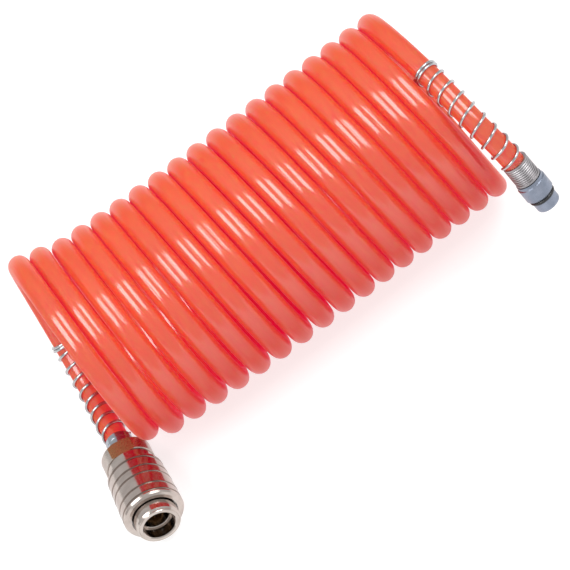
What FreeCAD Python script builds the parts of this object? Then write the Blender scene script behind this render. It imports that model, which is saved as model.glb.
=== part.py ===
import FreeCAD, Part
import math
import os
import re
import Sketcher
from FreeCAD import Placement, Rotation, Vector

# Coiled air hose: a springy plastic hose wound in a helix, lying on a table with its axis along X.
# Each end runs out of the coil towards -Y. The left end carries a quick coupler with a valve, a
# ball lock and a release sleeve; the right end carries a plug nipple on a swivel. A wire guard
# spring protects the hose where it enters each fitting. All sizes are in millimetres and degrees.

doc = FreeCAD.newDocument("CoiledAirHose")
sheet = doc.addObject("Spreadsheet::Sheet", "Sizes")

SIZES = [
    ("hose_diameter", 8.0, "outside diameter of the hose"),
    ("hose_bore", 5.0, "bore of the hose"),
    ("coil_diameter", 73.4, "diameter of the turns at the hose's centre line"),
    ("coil_pitch", 8.8, "advance of a turn in mid coil"),
    ("pitch_growth", 0.037, "growth of the pitch with each turn towards the coupler end"),
    ("coil_turns", 18, "whole turns between the first and the last crest"),
    ("coil_flat", 0.5, "depth of the flat on which the turns stand"),
    ("coil_bow", 3.7, "how far the coupler end of the axis bends back"),
    ("turn_lean", 7.1, "lean of the crests towards the coupler end"),
    ("end_upright", 3.0, "how much less the first turn leans than those in mid coil"),
    ("end_yaw", 6.3, "how far the first turn is yawed by the bend of the axis"),
    ("first_turn_shift", 0.65, "how far the front of the first turn bends towards the second"),
    ("end_lift", 4.85, "how far the stiff coupler tail lifts the first turn"),
    ("coupler_tail_angle", 3.8, "rise of the coupler tail from level"),
    ("coupler_spread", 0.26, "sideways spread of the tail, per radian squared"),
    ("nipple_exit", 16.5, "angle past the last crest where the hose leaves the coil"),
    ("nipple_spread", 0.48, "sideways spread of the last turn, per radian squared"),
    ("coupler_tail", 12.75, "straight hose from the coil's end to the adapter"),
    ("guard_wire", 0.9, "wire of the guard springs"),
    ("guard_clearance", 0.15, "gap between hose and guard spring"),
    ("guard_length", 47.5, "length of a guard spring along the hose"),
    ("guard_pitch", 5.5, "pitch of its open curls"),
    ("guard_closed_pitch", 1.35, "pitch of its closed end curl"),
    ("guard_closed_curls", 1.25, "closed curls at its free end"),
    ("ferrule_length", 7.6, "crimp ferrule of the coupler"),
    ("ferrule_wall", 1.05, "its wall"),
    ("ferrule_clearance", 0.02, "gap between hose and ferrules"),
    ("stem_length", 11.5, "barbed stem inside the hose"),
    ("stem_bore", 3.2, "bore through either stem"),
    ("stem_clearance", 0.05, "gap between stem barbs and the hose's bore"),
    ("barb_depth", 0.3, "depth of the barbs"),
    ("adapter_diameter", 18.7, "round collar of the adapter"),
    ("wrench_width", 16.4, "across the collar's two wrench flats"),
    ("adapter_length", 6.6, "length of the collar"),
    ("adapter_chamfer", 0.9, "chamfer of the collar's rear edge"),
    ("spigot_diameter", 11.6, "threaded spigot in front of the collar, at its crests"),
    ("spigot_length", 5.0, "length of the spigot"),
    ("flange_length", 5.4, "length of the flange"),
    ("neck_diameter", 14.0, "body under the sleeve's spring"),
    ("barrel_diameter", 16.6, "front of the body"),
    ("flange_rise", 0.6, "how far the rear flange, which guides the sleeve, stands out over that"),
    ("step_margin", 0.8, "step from neck to barrel, from the rear edge of the sleeve's land"),
    ("body_length", 31.6, "body from the adapter to its nose"),
    ("bore_diameter", 12.0, "mouth bore that takes the plug"),
    ("bore_step", 0.7, "step down from the mouth bore to the bore with the balls and the seal"),
    ("mouth_depth", 5.0, "depth of the mouth bore"),
    ("bore_depth", 18.7, "depth of both bores"),
    ("seat_diameter", 8.0, "hole through the valve seat"),
    ("seat_wall", 1.7, "thickness of the valve seat"),
    ("head_clearance", 0.3, "gap between the valve's head and its chamber"),
    ("groove_set_back", 16.3, "front of the plug seal's groove, from the nose"),
    ("groove_width", 2.0, "width of that groove"),
    ("groove_diameter", 13.8, "diameter of that groove"),
    ("seal_wire", 1.9, "section of the plug seal"),
    ("ball_diameter", 3.5, "locking balls"),
    ("ball_set_back", 14.2, "ball centres, from the nose"),
    ("ball_reach", 0.6, "how far the balls stand into the bore"),
    ("ball_clearance", 0.05, "gap round each ball"),
    ("ball_count", 4, "number of locking balls"),
    ("sleeve_gap", 4.2, "sleeve's rear edge from the adapter"),
    ("sleeve_set_back", 5.4, "sleeve's front edge from the nose"),
    ("sleeve_travel", 3.0, "travel of the sleeve towards the adapter"),
    ("sleeve_rear_wall", 1.55, "wall of the sleeve at its rear edge"),
    ("sleeve_front_wall", 1.75, "wall of the sleeve round the ball recess"),
    ("mouth_clearance", 0.5, "gap between body and sleeve at the sleeve's front opening"),
    ("sleeve_chamfer", 1.3, "rounding of its front edge"),
    ("grip_depth", 0.4, "depth of the grip grooves"),
    ("grip_width", 0.8, "width of the grip grooves"),
    ("running_gap", 0.05, "radial gap of sliding and turning fits"),
    ("land_length", 3.1, "inner land of the sleeve that holds the balls in"),
    ("ramp_ratio", 0.2833, "radial ball travel per unit of sleeve travel"),
    ("recess_reach", 4.6, "front end of the ball recess, from the ball centres"),
    ("stop_land", 0.9, "land that meets the snap ring"),
    ("snap_wire", 0.8, "thickness of the sleeve's snap ring"),
    ("sleeve_spring_wire", 0.9, "wire of the sleeve's spring"),
    ("sleeve_spring_pitch", 1.7, "least pitch of its curls"),
    ("head_overlap", 0.9, "how far the valve's head reaches past the seat's hole"),
    ("valve_head_thickness", 1.4, "thickness of the head"),
    ("valve_seal_wire", 0.8, "section of the ring that seals the valve"),
    ("valve_tube_wall", 0.9, "wall of the valve's front tube"),
    ("valve_tube_length", 6.4, "valve tube in front of the head"),
    ("valve_travel", 2.4, "travel of the valve"),
    ("valve_spring_wire", 0.5, "wire of the valve's spring"),
    ("valve_spring_diameter", 6.8, "its diameter at the wire's centre"),
    ("valve_spring_pitch", 1.15, "least pitch of its curls"),
    ("nipple_ferrule_length", 8.7, "grooved ferrule of the nipple"),
    ("nipple_ferrule_wall", 1.0, "its wall"),
    ("ferrule_grooves", 9, "fine grooves round that ferrule"),
    ("ferrule_groove_depth", 0.22, "depth of those grooves"),
    ("end_wall", 0.5, "front wall of that ferrule"),
    ("nipple_stem_reach", 10.0, "nipple stem inside the hose"),
    ("stem_neck_diameter", 5.6, "neck of the nipple stem"),
    ("stem_flange_diameter", 8.6, "flange that the swivel turns on"),
    ("stem_flange_thickness", 1.2, "thickness of that flange"),
    ("swivel_tube_diameter", 5.9, "tube in front of the flange"),
    ("swivel_tube_length", 3.0, "length of that tube"),
    ("swivel_gap", 0.2, "gap between ferrule and swivel collar"),
    ("collar_diameter", 11.3, "swivel collar"),
    ("collar_length", 7.7, "length of the collar"),
    ("collar_step", 0.35, "step at the collar's rear"),
    ("collar_room", 9.2, "room for the flange inside the collar"),
    ("swivel_ring_thickness", 0.6, "snap ring that keeps the flange in"),
    ("swivel_seal_wire", 0.7, "section of the swivel's seal"),
    ("nose_ring_wire", 1.6, "section of the black ring behind the stub"),
    ("stub_diameter", 9.4, "plug stub"),
    ("stub_length", 4.1, "length of the stub"),
    ("stub_round", 1.2, "rounding of the stub's end"),
    ("stub_bore", 4.4, "bore through the stub"),
]

for row, (alias, value, meaning) in enumerate(SIZES, start=1):
    sheet.set(f"A{row}", alias)
    sheet.set(f"B{row}", str(value))
    sheet.setAlias(f"B{row}", alias)
    sheet.set(f"C{row}", meaning)
doc.recompute()

# Places of the sleeve's grip grooves, as shares of its length from the rear edge.
GRIP_PLACES = [0.07, 0.28, 0.455, 0.72, 0.89]

# Points of the nipple's tail, chosen by hand: along the hose as it leaves the coil, down, sideways.
NIPPLE_TAIL = [(0.0, 0.0, 0.0), (12.1, 0.0, 0.0), (23.8, 3.4, 0.2), (34.1, 9.9, 0.8), (43.4, 20.4, 1.6)]


def size(alias):
    return float(getattr(sheet, alias))


def linked(formula):
    """A formula in plain size names becomes one that reads the sheet's cells."""
    return re.sub(r"[a-z][a-z_]+", lambda word: "Sizes." + word.group(0), formula)


def evaluate(formula):
    return float(sheet.evalExpression(linked(formula)))


def plane(body, role):
    return [feature for feature in body.Origin.OriginFeatures if feature.Role == role][0]


def new_body(label):
    body = doc.addObject("PartDesign::Body", label)
    body.Label = label
    return body


def profile(body, name, corners, role="XY_Plane"):
    """A closed outline in a plane of the body; each corner is a pair of formulas: along, radius."""
    sketch = body.newObject("Sketcher::SketchObject", name)
    sketch.AttachmentSupport = [(plane(body, role), "")]
    sketch.MapMode = "FlatFace"
    places = [Vector(evaluate(along), evaluate(radius), 0) for along, radius in corners]
    count = len(places)
    for index in range(count):
        sketch.addGeometry(Part.LineSegment(places[index], places[(index + 1) % count]), False)
    for index in range(count):
        follower = (index + 1) % count
        sketch.addConstraint(Sketcher.Constraint("Coincident", index, 2, follower, 1))
    for index, (along, radius) in enumerate(corners):
        for kind, formula, axis in (("DistanceX", along, -2), ("DistanceY", radius, -1)):
            if formula == "0":
                sketch.addConstraint(Sketcher.Constraint("PointOnObject", index, 1, axis))
            else:
                constraint = Sketcher.Constraint(kind, -1, 1, index, 1, evaluate(formula))
                number = sketch.addConstraint(constraint)
                sketch.setExpression(f"Constraints[{number}]", linked(formula))
    return sketch


def revolve(body, name, corners):
    sketch = profile(body, name + "_outline", corners)
    turned = body.newObject("PartDesign::Revolution", name)
    turned.Profile = sketch
    turned.ReferenceAxis = (sketch, ["H_Axis"])
    turned.Angle = 360
    return turned


def turn_away(body, name, corners):
    sketch = profile(body, name + "_outline", corners)
    groove = body.newObject("PartDesign::Groove", name)
    groove.Profile = sketch
    groove.ReferenceAxis = (sketch, ["H_Axis"])
    groove.Angle = 360
    return groove


def turned_body(label, corners):
    body = new_body(label)
    revolve(body, label + "_turning", corners)
    return body


def round_edge(body, name, base, along, radius, amount):
    """Round the circular edge that lies at a distance along X with a given radius."""
    doc.recompute()
    found = []
    for number, edge in enumerate(base.Shape.Edges, start=1):
        curve = edge.Curve
        if isinstance(curve, Part.Circle) and abs(curve.Radius - evaluate(radius)) < 1e-4:
            if abs(curve.Center.x - evaluate(along)) < 1e-4:
                found.append(f"Edge{number}")
    fillet = body.newObject("PartDesign::Fillet", name)
    fillet.Base = (base, found)
    fillet.setExpression("Radius", linked(amount))
    return fillet


def ring(label, major, section, along):
    """A round-section ring about the X axis of its fitting."""
    torus = doc.addObject("Part::Torus", label)
    torus.Label = label
    torus.setExpression("Radius1", linked(major))
    torus.setExpression("Radius2", linked(section + " / 2"))
    torus.Placement = Placement(Vector(evaluate(along), 0, 0), Rotation(Vector(0, 1, 0), 90))
    return torus


# The hose's centre line

MIDDLE_FOOT = 180 + 360 * math.floor(size("coil_turns") / 2)
COIL_START = -180 - size("coupler_tail_angle")
COIL_END = 360 * size("coil_turns") + size("nipple_exit")
SPREAD_START = -60
NIPPLE_SPREAD_START = 360 * size("coil_turns") - 60
LIFT_END = 540
LIFT_START = 90


def smooth_step(fraction):
    held = min(1.0, max(0.0, fraction))
    return held * held * (3 - 2 * held)


def coil_point(angle):
    """Point of the coil's centre line; the angle grows by 360 a turn and is 0 at the first crest."""
    radius = size("coil_diameter") / 2
    height = radius * math.cos(math.radians(angle))
    depth = -radius * math.sin(math.radians(angle))
    turns = (angle - MIDDLE_FOOT) / 360
    share = max(0.0, -2 * turns / size("coil_turns"))
    x = size("coil_pitch") * turns - size("pitch_growth") * turns ** 2 / 2
    x -= math.tan(math.radians(size("turn_lean"))) * (height + radius)
    x += share ** 1.2 * math.tan(math.radians(size("end_upright"))) * height
    x += share ** 1.2 * math.tan(math.radians(size("end_yaw"))) * depth
    x -= size("coupler_spread") * max(0.0, math.radians(SPREAD_START - angle)) ** 2
    x += size("nipple_spread") * max(0.0, math.radians(angle - NIPPLE_SPREAD_START)) ** 2
    bend = smooth_step((angle + 60) / 120) - smooth_step((angle - 150) / 110)
    x += size("first_turn_shift") * bend
    y = depth + size("coil_bow") * share ** 2
    lift = size("end_lift") * (1 - smooth_step((angle - LIFT_START) / (LIFT_END - LIFT_START)))
    z = radius + size("hose_diameter") / 2 - size("coil_flat") + height + lift
    return Vector(x, y, z)


def coil_direction(angle):
    step = 0.01
    return (coil_point(angle + step) - coil_point(angle - step)).normalize()


def arc_between(start, corner, end):
    """Arc from start to end whose end tangents meet at the corner."""
    middle = (start + end) / 2
    half_chord = (end - start).Length / 2
    offset = corner - middle
    if offset.Length < 1e-6 * half_chord:
        return Part.LineSegment(start, end).toShape()
    half_turn = math.atan2(offset.Length, half_chord)
    crown = middle + offset.normalize() * (half_chord * math.tan(half_turn / 2))
    return Part.Arc(start, crown, end).toShape()


def biarc(start, start_direction, end, end_direction):
    """Two arcs that leave the start and reach the end along the given directions."""
    span = end - start
    total = start_direction + end_direction
    curl = 2 * (1 - start_direction.dot(end_direction))
    along = span.dot(total)
    if curl < 1e-9:
        reach = span.dot(span) / (2 * along)
    else:
        reach = (math.sqrt(along * along + curl * span.dot(span)) - along) / curl
    first_corner = start + start_direction * reach
    last_corner = end - end_direction * reach
    joint = (first_corner + last_corner) / 2
    return [arc_between(start, first_corner, joint), arc_between(joint, last_corner, end)]


def biarcs_through(point, direction, stations):
    edges = []
    for first, last in zip(stations, stations[1:]):
        edges += biarc(point(first), direction(first), point(last), direction(last))
    return edges


def rounded_run(points):
    """Straight runs through the points, joined by tangent arcs as large as the runs allow."""
    edges = []
    here = points[0]
    for before, corner, after in zip(points, points[1:], points[2:]):
        into = (corner - before).normalize()
        out = (after - corner).normalize()
        cut = 0.45 * min((corner - before).Length, (after - corner).Length)
        radius = cut / math.tan(into.getAngle(out) / 2)
        print(f"tail bend radius {radius:.1f}")
        edges.append(Part.LineSegment(here, corner - into * cut).toShape())
        edges.append(arc_between(corner - into * cut, corner, corner + out * cut))
        here = corner + out * cut
    edges.append(Part.LineSegment(here, points[-1]).toShape())
    return edges


def disc_wire(centre, direction, radius):
    return Part.Wire([Part.Circle(centre, direction, radius).toShape()])


def tube_along(edges, start, direction, radius):
    """One unbroken tube along the edges, swept as a pipe shell."""
    return Part.Wire(edges).makePipeShell([disc_wire(start, direction, radius)], True, False)


def wound(label, shape):
    feature = doc.addObject("Part::Feature", label)
    feature.Label = label
    feature.Shape = shape
    return feature


hose_radius = size("hose_diameter") / 2
bore_radius = size("hose_bore") / 2
coupler_axis = coil_direction(COIL_START) * -1
coil_foot = coil_point(COIL_START)
coupler_seam = coil_foot + coupler_axis * size("hose_diameter")
adapter_rear = coupler_seam + coupler_axis * size("coupler_tail")
nipple_lead = coil_direction(COIL_END)
coil_last = coil_point(COIL_END)
nipple_seam = coil_last + nipple_lead * size("hose_diameter")

# The coil
stations = [COIL_START] + list(range(-90, int(COIL_END) - 45, 90)) + [COIL_END]
coil_edges = [Part.LineSegment(coupler_seam, coil_foot).toShape()]
coil_edges += biarcs_through(coil_point, coil_direction, stations)
coil_edges.append(Part.LineSegment(coil_last, nipple_seam).toShape())
coil_shape = tube_along(coil_edges, coupler_seam, coupler_axis * -1, hose_radius)
coil_length = sum(edge.Length for edge in coil_edges)
swept = math.pi * hose_radius ** 2 * coil_length
print(f"coil {coil_length:.0f} mm long, volume over section times length {coil_shape.Volume / swept:.5f}")
box = coil_shape.BoundBox
table = Part.makeBox(box.XLength + 20, box.YLength + 20, 10, Vector(box.XMin - 10, box.YMin - 10, -10))
wound("coil_tube", coil_shape.cut(table))

# The straight tail into the coupler, with the hose's bore
tail_start = coupler_seam
tail = Part.makeCylinder(hose_radius, size("coupler_tail"), tail_start, coupler_axis)
tail_bore = Part.makeCylinder(bore_radius, size("coupler_tail"), tail_start, coupler_axis)
wound("coupler_tail_tube", tail.cut(tail_bore))

# The bent tail into the nipple, with the hose's bore
down = (Vector(0, 0, -1) - nipple_lead * Vector(0, 0, -1).dot(nipple_lead)).normalize()
aside = nipple_lead.cross(down)
route = [nipple_seam + nipple_lead * along + down * drop + aside * shift
         for along, drop, shift in NIPPLE_TAIL]
nipple_edges = rounded_run(route)
nipple_axis = (route[-1] - route[-2]).normalize()
nipple_outer = tube_along(nipple_edges, nipple_seam, nipple_lead, hose_radius)
nipple_inner = tube_along(nipple_edges, nipple_seam, nipple_lead, bore_radius)
nipple_length = sum(edge.Length for edge in nipple_edges)
swept = math.pi * hose_radius ** 2 * nipple_length
print(f"nipple tail {nipple_length:.1f} mm, volume ratio {nipple_outer.Volume / swept:.5f}")
wound("nipple_tail_tube", nipple_outer.cut(nipple_inner))
hose_end = route[-1]


class Line:
    """A path of edges that can be asked for the point and direction at any length along it."""

    def __init__(self, edges):
        self.edges = edges
        self.length = sum(edge.Length for edge in edges)

    def locate(self, distance):
        for edge in self.edges[:-1]:
            if distance <= edge.Length:
                return edge, distance
            distance -= edge.Length
        return self.edges[-1], distance

    def point(self, distance):
        edge, rest = self.locate(distance)
        return edge.valueAt(edge.getParameterByLength(rest))

    def direction(self, distance):
        edge, rest = self.locate(distance)
        return edge.tangentAt(edge.getParameterByLength(rest))


hose_line = Line([Part.LineSegment(adapter_rear, coupler_seam).toShape()] + coil_edges + nipple_edges)


def helix_point(line, radius, start, turn_at, distance):
    """Point of a wire that winds about a path, whose turning is a function of the distance."""
    place = start + distance
    forward = line.direction(place)
    side = (Vector(1, 0, 0) - forward * forward.x).normalize()
    up = forward.cross(side)
    turn = 2 * math.pi * turn_at(distance)
    return line.point(place) + side * (radius * math.cos(turn)) + up * (radius * math.sin(turn))


def winding(line, radius, wire, start, length, turn_at):
    """A wire spring about a path; four stations a curl, each pair joined by a biarc."""
    quarters = math.floor(4 * abs(turn_at(length)))
    distances = [0.0]
    for quarter in range(1, quarters + 1):
        low, high = 0.0, length
        for _ in range(40):
            middle = (low + high) / 2
            if abs(turn_at(middle)) < quarter / 4:
                low = middle
            else:
                high = middle
        distances.append(low)
    step = 0.005

    def point(distance):
        return helix_point(line, radius, start, turn_at, distance)

    def direction(distance):
        back, ahead = max(0.0, distance - step), min(length, distance + step)
        return (point(ahead) - point(back)).normalize()

    edges = biarcs_through(point, direction, distances)
    shape = tube_along(edges, point(0.0), direction(0.0), wire / 2)
    return shape, least_gap(edges, wire, 2 * math.pi * radius)


def least_gap(edges, diameter, turn_length):
    """Least gap of a tube to its own neighbouring turns, on points along its centre line."""
    line_points = []
    for edge in edges:
        pieces = max(2, round(edge.Length / (turn_length / 24)))
        line_points += edge.discretize(pieces + 1)[:-1]
    spacing = sum(edge.Length for edge in edges) / len(line_points)
    window = round(0.7 * turn_length / spacing)
    reach = round(1.4 * turn_length / spacing)
    least = float("inf")
    for index, point in enumerate(line_points):
        near = line_points[index + window:index + reach]
        for first, last in zip(near, near[1:]):
            span = last - first
            share = min(1.0, max(0.0, (point - first).dot(span) / span.dot(span)))
            least = min(least, (first + span * share - point).Length)
    return least - diameter


print(f"coil's least gap to itself {least_gap(coil_edges, size('hose_diameter'), 230.0):.2f}")

# Guard springs: open curls from the fitting, then a closed curl at the free end
guard_wire = size("guard_wire")
guard_radius = hose_radius + size("guard_clearance") + guard_wire / 2
closed_length = size("guard_closed_curls") * size("guard_closed_pitch")
open_length = size("guard_length") - guard_wire - closed_length


def guard_turn(distance):
    """Curls from the free end: a closed start, then open ones."""
    closed = min(distance, closed_length) / size("guard_closed_pitch")
    opened = max(0.0, distance - closed_length) / size("guard_pitch")
    return closed + opened


def guard_turn_from_fitting(distance):
    wound_all = guard_turn(open_length + closed_length)
    return wound_all - guard_turn(open_length + closed_length - distance)


coupler_guard_start = size("ferrule_length") + guard_wire / 2 + 0.1
coupler_guard, gap = winding(hose_line, guard_radius, guard_wire, coupler_guard_start,
                             open_length + closed_length, guard_turn_from_fitting)
print(f"coupler guard spring's least gap to itself {gap:.2f}")
wound("coupler_guard_spring", coupler_guard)
nipple_ferrule_rear = size("nipple_ferrule_length") - size("end_wall")
nipple_guard_start = hose_line.length - nipple_ferrule_rear - size("guard_length")
nipple_guard, gap = winding(hose_line, guard_radius, guard_wire, nipple_guard_start,
                            open_length + closed_length, guard_turn)
print(f"nipple guard spring's least gap to itself {gap:.2f}")
wound("nipple_guard_spring", nipple_guard)

# The coupler, each piece turned about X with the stem's tip at the origin

COLLAR_BACK = "stem_length"
COLLAR_FACE = "stem_length + adapter_length"
NOSE = COLLAR_FACE + " + body_length"
BORE_END = NOSE + " - bore_depth"
SEAT_REAR = BORE_END + " - seat_wall"
SPIGOT_END = COLLAR_FACE + " + spigot_length"
FLANGE_FRONT = COLLAR_FACE + " + flange_length"
VALVE_HEAD = "seat_diameter / 2 + head_overlap"
VALVE_ROOM = VALVE_HEAD + " + head_clearance"
BALL_PLACE = NOSE + " - ball_set_back"
INNER_BORE = "bore_diameter / 2 - bore_step"
BALL_LEVEL = INNER_BORE + " - ball_reach + ball_diameter / 2"
BARREL = "barrel_diameter / 2"
FLANGE = BARREL + " + flange_rise"
LAND_LEVEL = BARREL + " + running_gap"
MOUTH_LEVEL = BARREL + " + mouth_clearance"
SLEEVE_BORE = FLANGE + " + running_gap"
RAMP_START = BALL_LEVEL + " + (ball_diameter / 2 + ball_clearance) * 1.04"
RECESS_LEVEL = RAMP_START + " + ramp_ratio * recess_reach"
LAND_FRONT = BALL_PLACE + " - (" + RAMP_START + " - (" + LAND_LEVEL + ")) / ramp_ratio"
LAND_REAR = LAND_FRONT + " - land_length"
RECESS_FRONT = BALL_PLACE + " + recess_reach"
STOP_FRONT = RECESS_FRONT + " + stop_land"
SLEEVE_REAR = COLLAR_FACE + " + sleeve_gap"
SLEEVE_FRONT = NOSE + " - sleeve_set_back"
SLEEVE_REAR_LEVEL = SLEEVE_BORE + " + sleeve_rear_wall"
SLEEVE_WIDE_LEVEL = RECESS_LEVEL + " + sleeve_front_wall"
BARB_CREST = "hose_bore / 2 - stem_clearance"
BARB_ROOT = BARB_CREST + " - barb_depth"


def barbs(start, count, pitch):
    """Saw-tooth barbs whose steep side faces the fitting."""
    corners = []
    for number in range(count):
        rear = f"{start} + {number} * {pitch}"
        corners.append((rear, BARB_ROOT))
        corners.append((f"{rear} + {pitch} * 0.8", BARB_CREST))
        corners.append((f"{rear} + {pitch} * 0.82", BARB_ROOT))
    return corners


def coupler_ferrule():
    inner = "hose_diameter / 2 + ferrule_clearance"
    outer = "hose_diameter / 2 + ferrule_wall"
    rear = COLLAR_BACK + " - ferrule_length"
    crimp = rear + " + ferrule_length * 0.3"
    crimp_end = rear + " + ferrule_length * 0.75"
    return turned_body("coupler_ferrule", [
        (rear, inner), (rear, outer + " - 0.25"), (rear + " + 0.3", outer),
        (crimp, outer), (crimp + " + 0.3", outer + " - 0.12"), (crimp_end + " - 0.3", outer + " - 0.12"),
        (crimp_end, outer), (COLLAR_BACK, outer), (COLLAR_BACK, inner)])


def wrench_adapter():
    """Barbed stem, round collar with two wrench flats, and threaded spigot in one piece."""
    body = new_body("wrench_adapter")
    thread_root = "spigot_diameter / 2 - 0.5"
    rim = "adapter_diameter / 2"
    outline = [("0", "stem_bore / 2"), ("0", BARB_ROOT)]
    outline += barbs("1.0", 3, "3.0")
    outline += [(COLLAR_BACK, BARB_ROOT), (COLLAR_BACK, rim + " - adapter_chamfer"),
                (COLLAR_BACK + " + adapter_chamfer", rim), (COLLAR_FACE + " - 0.3", rim),
                (COLLAR_FACE, rim + " - 0.3"),
                (COLLAR_FACE, thread_root), (COLLAR_FACE + " + 0.8", thread_root),
                (COLLAR_FACE + " + 1.3", "spigot_diameter / 2"),
                (SPIGOT_END + " - 2.1", "spigot_diameter / 2"),
                (SPIGOT_END + " - 2.1", "spigot_diameter / 2 - 1"),
                (SPIGOT_END + " - 0.9", "spigot_diameter / 2 - 1"),
                (SPIGOT_END + " - 0.9", "spigot_diameter / 2"),
                (SPIGOT_END, "spigot_diameter / 2"), (SPIGOT_END, "stem_bore / 2")]
    revolve(body, "wrench_adapter_turning", outline)
    for side, name in (("", "upper_flat"), ("-", "lower_flat")):
        sketch = profile(body, name + "_outline", [
            (COLLAR_BACK + " - 1", side + "wrench_width / 2"), (COLLAR_BACK + " - 1", side + "adapter_diameter"),
            (COLLAR_FACE + " + 0.5", side + "adapter_diameter"),
            (COLLAR_FACE + " + 0.5", side + "wrench_width / 2")], "XZ_Plane")
        flat = body.newObject("PartDesign::Pocket", name)
        flat.Profile = sketch
        flat.Midplane = True
        flat.setExpression("Length", linked("adapter_diameter * 2"))
    return body


def coupler_body():
    """Threaded rear socket, valve chamber, seat, seal groove and plug bore, with the ball holes."""
    body = new_body("coupler_body")
    socket = "spigot_diameter / 2 + ferrule_clearance"
    groove_front = NOSE + " - groove_set_back"
    groove_rear = groove_front + " - groove_width"
    ring_rear = STOP_FRONT + " + running_gap"
    ring_floor = BARREL + " - snap_wire * 0.6"
    step = LAND_REAR + " + step_margin"
    mouth_end = NOSE + " - mouth_depth"
    revolve(body, "coupler_body_turning", [
        (COLLAR_FACE, socket), (COLLAR_FACE, FLANGE + " - 0.4"),
        (COLLAR_FACE + " + 0.4", FLANGE), (FLANGE_FRONT, FLANGE),
        (FLANGE_FRONT, "neck_diameter / 2"), (step + " - 0.5", "neck_diameter / 2"), (step, BARREL),
        (ring_rear, BARREL), (ring_rear, ring_floor),
        (ring_rear + " + snap_wire + running_gap", ring_floor),
        (ring_rear + " + snap_wire + running_gap", BARREL),
        (NOSE + " - 1.1", BARREL), (NOSE + " - 0.4", BARREL + " - 0.5"), (NOSE + " - 0.25", BARREL + " - 0.5"),
        (NOSE + " - 0.25", BARREL + " - 0.7"), (NOSE, BARREL + " - 0.8"),
        (NOSE, "bore_diameter / 2 + 0.35"), (NOSE + " - 0.35", "bore_diameter / 2"),
        (mouth_end, "bore_diameter / 2"), (mouth_end, INNER_BORE + " + 0.2"), (mouth_end + " - 0.2", INNER_BORE),
        (groove_front, INNER_BORE), (groove_front, "groove_diameter / 2"),
        (groove_rear, "groove_diameter / 2"), (groove_rear, INNER_BORE),
        (BORE_END, INNER_BORE), (BORE_END, "seat_diameter / 2"),
        (SEAT_REAR, "seat_diameter / 2"), (SEAT_REAR, VALVE_ROOM),
        (SPIGOT_END + " + 0.2", VALVE_ROOM), (SPIGOT_END + " + 0.2", socket)])
    sketch = body.newObject("Sketcher::SketchObject", "ball_hole_outline")
    sketch.AttachmentSupport = [(plane(body, "XY_Plane"), "")]
    sketch.MapMode = "FlatFace"
    sketch.addGeometry(Part.Circle(Vector(evaluate(BALL_PLACE), 0, 0), Vector(0, 0, 1), 1.5), False)
    sketch.addConstraint(Sketcher.Constraint("PointOnObject", 0, 3, -1))
    along = sketch.addConstraint(Sketcher.Constraint("DistanceX", -1, 1, 0, 3, evaluate(BALL_PLACE)))
    sketch.setExpression(f"Constraints[{along}]", linked(BALL_PLACE))
    width = sketch.addConstraint(Sketcher.Constraint("Radius", 0, 1.55))
    sketch.setExpression(f"Constraints[{width}]", linked("ball_diameter / 2 + ball_clearance"))
    hole = body.newObject("PartDesign::Pocket", "ball_hole")
    hole.Profile = sketch
    hole.Reversed = True
    hole.setExpression("Length", linked("barrel_diameter"))
    pattern = body.newObject("PartDesign::PolarPattern", "ball_holes")
    pattern.Originals = [hole]
    pattern.Axis = (plane(body, "X_Axis"), [""])
    pattern.Angle = 360
    pattern.setExpression("Occurrences", linked("ball_count"))
    body.Tip = pattern
    return body


def release_sleeve():
    """Barrel-shaped grip with turned grooves; inside, a land, a ball ramp and a stop."""
    body = new_body("release_sleeve")
    length = "(" + SLEEVE_FRONT + " - (" + SLEEVE_REAR + "))"
    rise = "(" + SLEEVE_WIDE_LEVEL + " - (" + SLEEVE_REAR_LEVEL + "))"
    outline = [(SLEEVE_REAR, SLEEVE_BORE), (SLEEVE_REAR, SLEEVE_REAR_LEVEL + " - 0.3"),
               (SLEEVE_REAR + " + 0.3", SLEEVE_REAR_LEVEL)]
    for share in GRIP_PLACES:
        level = f"{SLEEVE_REAR_LEVEL} + {math.sin(math.pi / 2 * share):.3f} * {rise}"
        place = f"{SLEEVE_REAR} + {share} * {length}"
        outline += [(place, level), (place + " + grip_width * 0.3", level + " - grip_depth"),
                    (place + " + grip_width * 0.7", level + " - grip_depth"), (place + " + grip_width", level)]
    outline += [(SLEEVE_FRONT + " - 0.9 * sleeve_chamfer", SLEEVE_WIDE_LEVEL),
                (SLEEVE_FRONT + " - 0.35 * sleeve_chamfer", SLEEVE_WIDE_LEVEL + " - 0.35 * sleeve_chamfer"),
                (SLEEVE_FRONT, SLEEVE_WIDE_LEVEL + " - sleeve_chamfer"),
                (SLEEVE_FRONT, MOUTH_LEVEL), (STOP_FRONT, MOUTH_LEVEL),
                (STOP_FRONT, LAND_LEVEL), (RECESS_FRONT, LAND_LEVEL), (RECESS_FRONT, RECESS_LEVEL),
                (LAND_FRONT, LAND_LEVEL), (LAND_REAR, LAND_LEVEL), (LAND_REAR, SLEEVE_BORE)]
    revolve(body, "release_sleeve_turning", outline)
    return body


def sleeve_snap_ring():
    """Split ring in the body's groove that stops the sleeve at the front."""
    body = new_body("sleeve_snap_ring")
    rear = STOP_FRONT + " + 1.5 * running_gap"
    inner = BARREL + " - snap_wire * 0.6 + 0.02"
    outer = MOUTH_LEVEL + " - running_gap * 2"
    revolve(body, "snap_ring_turning", [
        (rear, inner), (rear, outer), (rear + " + snap_wire", outer), (rear + " + snap_wire", inner)])
    sketch = profile(body, "split_outline", [
        (rear + " - 1", "-0.8"), (rear + " + snap_wire + 1", "-0.8"),
        (rear + " + snap_wire + 1", "0.8"), (rear + " - 1", "0.8")])
    pocket = body.newObject("PartDesign::Pocket", "split")
    pocket.Profile = sketch
    pocket.setExpression("Length", linked("barrel_diameter"))
    return body


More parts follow.
